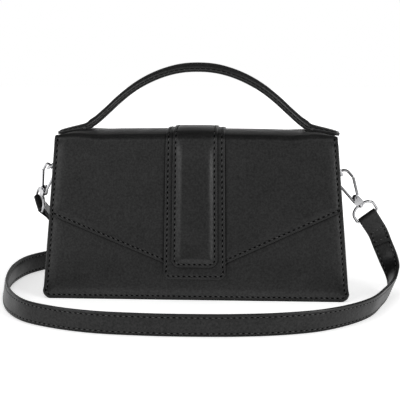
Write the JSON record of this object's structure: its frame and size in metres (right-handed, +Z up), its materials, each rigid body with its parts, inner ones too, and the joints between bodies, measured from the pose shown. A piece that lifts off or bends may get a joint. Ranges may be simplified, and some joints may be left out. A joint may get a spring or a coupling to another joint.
{
  "type": "crossbody bag",
  "caption": "Structured flap bag with a padded closure strip, an arched top handle and a shoulder strap clipped to side rings.",
  "frame": {"origin": "on the floor under the middle of the bag's bounding box, the shoulder strap and its clips left out", "axes": "+X to the right of someone facing the flap, +Y from the flap's face to the back, +Z up"},
  "size_m": [0.3307, 0.229, 0.19],
  "materials": {
    "leather": "smooth semi-matt",
    "strap_leather": "smooth with painted edges",
    "lining_fabric": "matt woven",
    "stiffener_board": "matt",
    "polished_metal": "polished",
    "magnet_metal": "plain plated",
    "spring_steel": "plain"
  },
  "bodies": {
    "bag": {"front_panel": "leather", "back_panel": "leather", "gusset": "leather", "base_board": "stiffener_board", "lining": "lining_fabric", "inner_pocket": "lining_fabric", "panel_magnet": "magnet_metal", "flap_back": "leather", "strip_back": "leather", "pad_back": "leather", "ring_loop_left": "leather", "ring_loop_right": "leather", "shoulder_strap": "strap_leather", "strap_fold_left": "strap_leather", "strap_fold_right": "strap_leather", "swivel_eye_left": "polished_metal", "swivel_eye_right": "polished_metal"},
    "flap_top": {"flap_top": "leather", "flap_lining_top": "leather", "strip_top": "leather", "pad_top": "leather", "handle_tab_left": "leather", "handle_tab_right": "leather"},
    "flap_front": {"flap_front": "leather", "flap_lining_front": "leather", "flap_magnet": "magnet_metal", "strip_front": "leather", "pad_front": "leather"},
    "handle": {"handle_strap": "leather", "handle_roll": "leather"},
    "ring_left": {"d_ring_left": "polished_metal"},
    "ring_right": {"d_ring_right": "polished_metal"},
    "hook_left": {"snap_hook_left": "polished_metal", "gate_pin_left": "polished_metal", "gate_spring_left": "spring_steel"},
    "hook_right": {"snap_hook_right": "polished_metal", "gate_pin_right": "polished_metal", "gate_spring_right": "spring_steel"},
    "gate_left": {"hook_gate_left": "polished_metal"},
    "gate_right": {"hook_gate_right": "polished_metal"}
  },
  "joints": [
    {"name": "flap_lift", "type": "hinge", "parent": "bag", "child": "flap_top", "pos_m": [0, 0.0287, 0.1325], "axis": [-1, 0, 0], "range_deg": [0, 100]},
    {"name": "flap_fold", "type": "hinge", "parent": "flap_top", "child": "flap_front", "pos_m": [0, -0.0235, 0.1325], "axis": [-1, 0, 0], "range_deg": [0, 95]},
    {"name": "handle_tilt", "type": "hinge", "parent": "flap_top", "child": "handle", "pos_m": [0, 0.0026, 0.1465], "axis": [1, 0, 0], "range_deg": [-25, 25], "stiffness_Nm_per_rad": 0.15},
    {"name": "ring_left_swing", "type": "hinge", "parent": "bag", "child": "ring_left", "pos_m": [-0.11356, 0.0026, 0.11], "axis": [0, -1, 0], "range_deg": [-2, 2]},
    {"name": "ring_right_swing", "type": "hinge", "parent": "bag", "child": "ring_right", "pos_m": [0.11356, 0.0026, 0.11], "axis": [0, 1, 0], "range_deg": [-4, 4]},
    {"name": "hook_left_swivel", "type": "hinge", "parent": "bag", "child": "hook_left", "pos_m": [-0.13208, 0.0157, 0.08121], "axis": [0.3459, -0.5337, 0.7717], "range_deg": [-8, 8]},
    {"name": "hook_right_swivel", "type": "hinge", "parent": "bag", "child": "hook_right", "pos_m": [0.13396, 0.00703, 0.07628], "axis": [-0.537, -0.1849, 0.8231], "range_deg": [-8, 8]},
    {"name": "gate_left_open", "type": "hinge", "parent": "hook_left", "child": "gate_left", "pos_m": [-0.13098, 0.01402, 0.0836], "axis": [0.721, 0.6775, 0.1453], "range_deg": [0, 24], "stiffness_Nm_per_rad": 0.003, "springref_deg": -28.65},
    {"name": "gate_right_open", "type": "hinge", "parent": "hook_right", "child": "gate_right", "pos_m": [0.13226, 0.00644, 0.07883], "axis": [0.3113, -0.9502, -0.0103], "range_deg": [0, 24], "stiffness_Nm_per_rad": 0.003, "springref_deg": -28.65}
  ]
}
